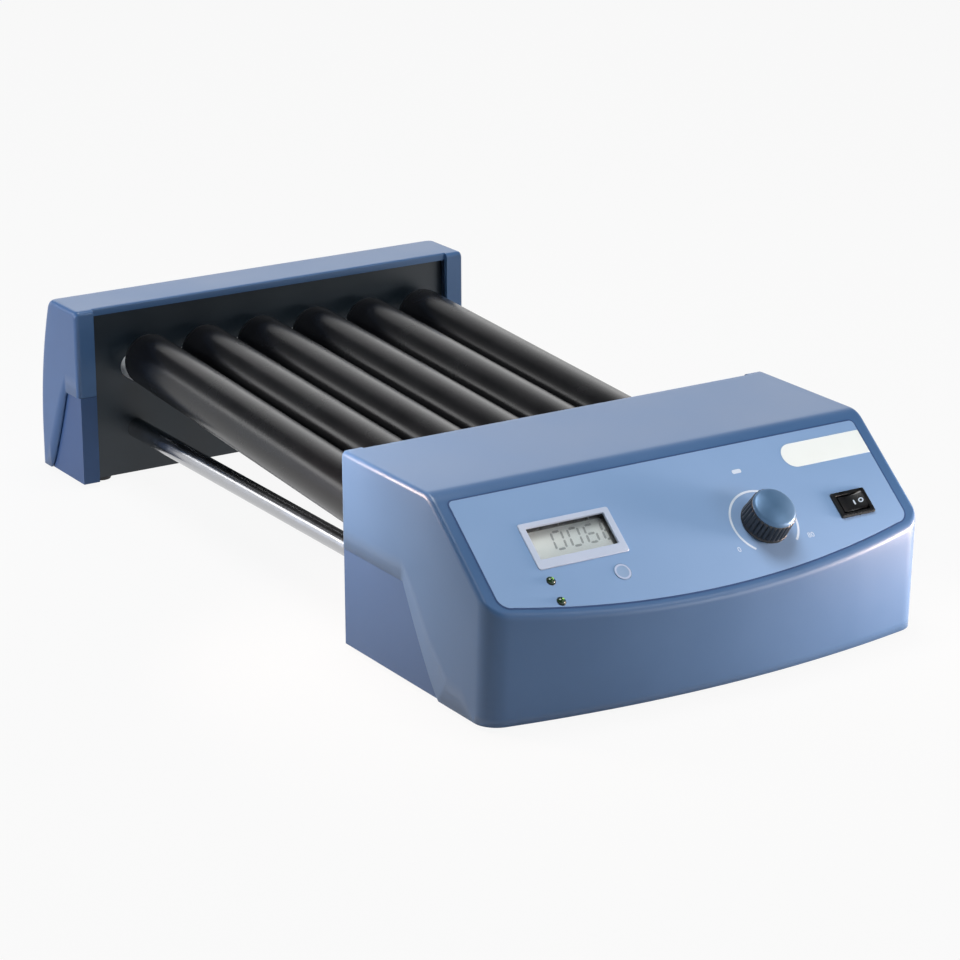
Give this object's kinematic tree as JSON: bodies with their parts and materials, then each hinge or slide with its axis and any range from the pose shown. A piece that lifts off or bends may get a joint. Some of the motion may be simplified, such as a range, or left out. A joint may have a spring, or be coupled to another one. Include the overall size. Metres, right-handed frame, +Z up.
{
  "type": "tube roller mixer",
  "caption": "Bench mixer that rocks and rolls tubes on a row of coupled rollers with offset shafts, with a sloped control panel.",
  "frame": {"origin": "on the table, under the middle of the machine's bounding box", "axes": "+X to the right as the operator faces the control panel, +Y from the control panel along the rollers to the end housing, +Z up"},
  "size_m": [0.27, 0.5292, 0.11],
  "materials": {
    "shell": "fine-grained moulded ABS, blue-grey",
    "tray": "fine-grained moulded ABS, darker blue",
    "panel": "smooth dark blue-grey plastic sheet",
    "overlay": "light blue printed polycarbonate film",
    "plate": "white printed film, blank",
    "frame_plastic": "pale blue moulded plastic",
    "window": "clear acrylic window",
    "lcd": "grey-green liquid crystal cell",
    "pcb": "green solder mask",
    "lamp": "unlit green lamp lens",
    "black_plastic": "black moulded plastic",
    "cap": "spun, blue-grey anodised",
    "steel": "ground and polished",
    "plated": "zinc plated",
    "machined": "turned aluminium",
    "bush": "light acetal",
    "roller": "black roller sleeve, satin",
    "belt": "black belt",
    "foot": "black rubber"
  },
  "bodies": {
    "base": {"control_cover": "shell", "control_tray": "tray", "control_bearing_panel": "panel", "control_overlay": "overlay", "name_plate": "plate", "display_frame": "frame_plastic", "display_window": "window", "display_cell": "lcd", "panel_board": "pcb", "status_lamps": "lamp", "key_switch": "black_plastic", "pot_body": "plated", "pot_nut": "plated", "switch_frame": "black_plastic", "power_inlet": "black_plastic", "inlet_pins": "plated", "main_board": "pcb", "board_parts": "black_plastic", "power_module": "black_plastic", "drive_plate": "plated", "plate_pillars": "plated", "shaft_bearings": "steel", "control_bushes": "bush", "gear_motor": "plated", "motor_screws": "plated", "motor_belt": "belt", "link_belts": "belt", "left_tie_rod": "steel", "right_tie_rod": "steel", "rod_screws": "plated", "end_cover": "shell", "end_tray": "tray", "end_bearing_panel": "panel", "end_bushes": "bush", "rubber_feet": "foot", "cover_screws": "plated"},
    "roller_1": {"roller_tube_1": "roller", "roller_shafts_1": "machined"},
    "roller_2": {"roller_tube_2": "roller", "roller_shafts_2": "machined"},
    "roller_3": {"roller_tube_3": "roller", "roller_shafts_3": "machined"},
    "roller_4": {"roller_tube_4": "roller", "roller_shafts_4": "machined"},
    "roller_5": {"roller_tube_5": "roller", "roller_shafts_5": "machined"},
    "roller_6": {"roller_tube_6": "roller", "roller_shafts_6": "machined"},
    "motor_rotor": {"motor_shaft": "steel", "motor_pulley": "machined"},
    "knob": {"speed_knob": "black_plastic", "knob_cap": "cap", "pot_shaft": "plated"},
    "rocker": {"switch_rocker": "black_plastic"},
    "key": {"set_key": "frame_plastic"}
  },
  "joints": [
    {"name": "roller_1_spin", "type": "hinge", "parent": "base", "child": "roller_1", "pos_m": [-0.095, 0.05008, 0.07], "axis": [0, 1, 0], "continuous": true},
    {"name": "roller_2_spin", "type": "hinge", "parent": "base", "child": "roller_2", "pos_m": [-0.057, 0.05008, 0.07], "axis": [0, 1, 0], "continuous": true},
    {"name": "roller_3_spin", "type": "hinge", "parent": "base", "child": "roller_3", "pos_m": [-0.019, 0.05008, 0.07], "axis": [0, 1, 0], "continuous": true},
    {"name": "roller_4_spin", "type": "hinge", "parent": "base", "child": "roller_4", "pos_m": [0.019, 0.05008, 0.07], "axis": [0, 1, 0], "continuous": true},
    {"name": "roller_5_spin", "type": "hinge", "parent": "base", "child": "roller_5", "pos_m": [0.057, 0.05008, 0.07], "axis": [0, 1, 0], "continuous": true},
    {"name": "roller_6_spin", "type": "hinge", "parent": "base", "child": "roller_6", "pos_m": [0.095, 0.05008, 0.07], "axis": [0, 1, 0], "continuous": true},
    {"name": "motor_spin", "type": "hinge", "parent": "base", "child": "motor_rotor", "pos_m": [0, -0.14742, 0.032], "axis": [0, 1, 0], "continuous": true},
    {"name": "knob_turn", "type": "hinge", "parent": "base", "child": "knob", "pos_m": [0.0415, -0.2372, 0.07514], "axis": [0, -0.6361, 0.7716], "range_deg": [-135, 135]},
    {"name": "rocker_tilt", "type": "hinge", "parent": "base", "child": "rocker", "pos_m": [0.0984, -0.23577, 0.07309], "axis": [0, 0.7716, 0.6361], "range_deg": [0, 16]},
    {"name": "key_press", "type": "slide", "parent": "base", "child": "key", "axis": [0, 0.6361, -0.7716], "range_m": [0, 0.0005], "stiffness_N_per_m": 400, "springref_m": -0.0003}
  ],
  "couplings": [
    {"joint": "roller_1_spin", "follows": "roller_3_spin", "ratio": 1},
    {"joint": "roller_2_spin", "follows": "roller_3_spin", "ratio": 1},
    {"joint": "roller_4_spin", "follows": "roller_3_spin", "ratio": 1},
    {"joint": "roller_5_spin", "follows": "roller_3_spin", "ratio": 1},
    {"joint": "roller_6_spin", "follows": "roller_3_spin", "ratio": 1},
    {"joint": "motor_spin", "follows": "roller_3_spin", "ratio": 1}
  ]
}
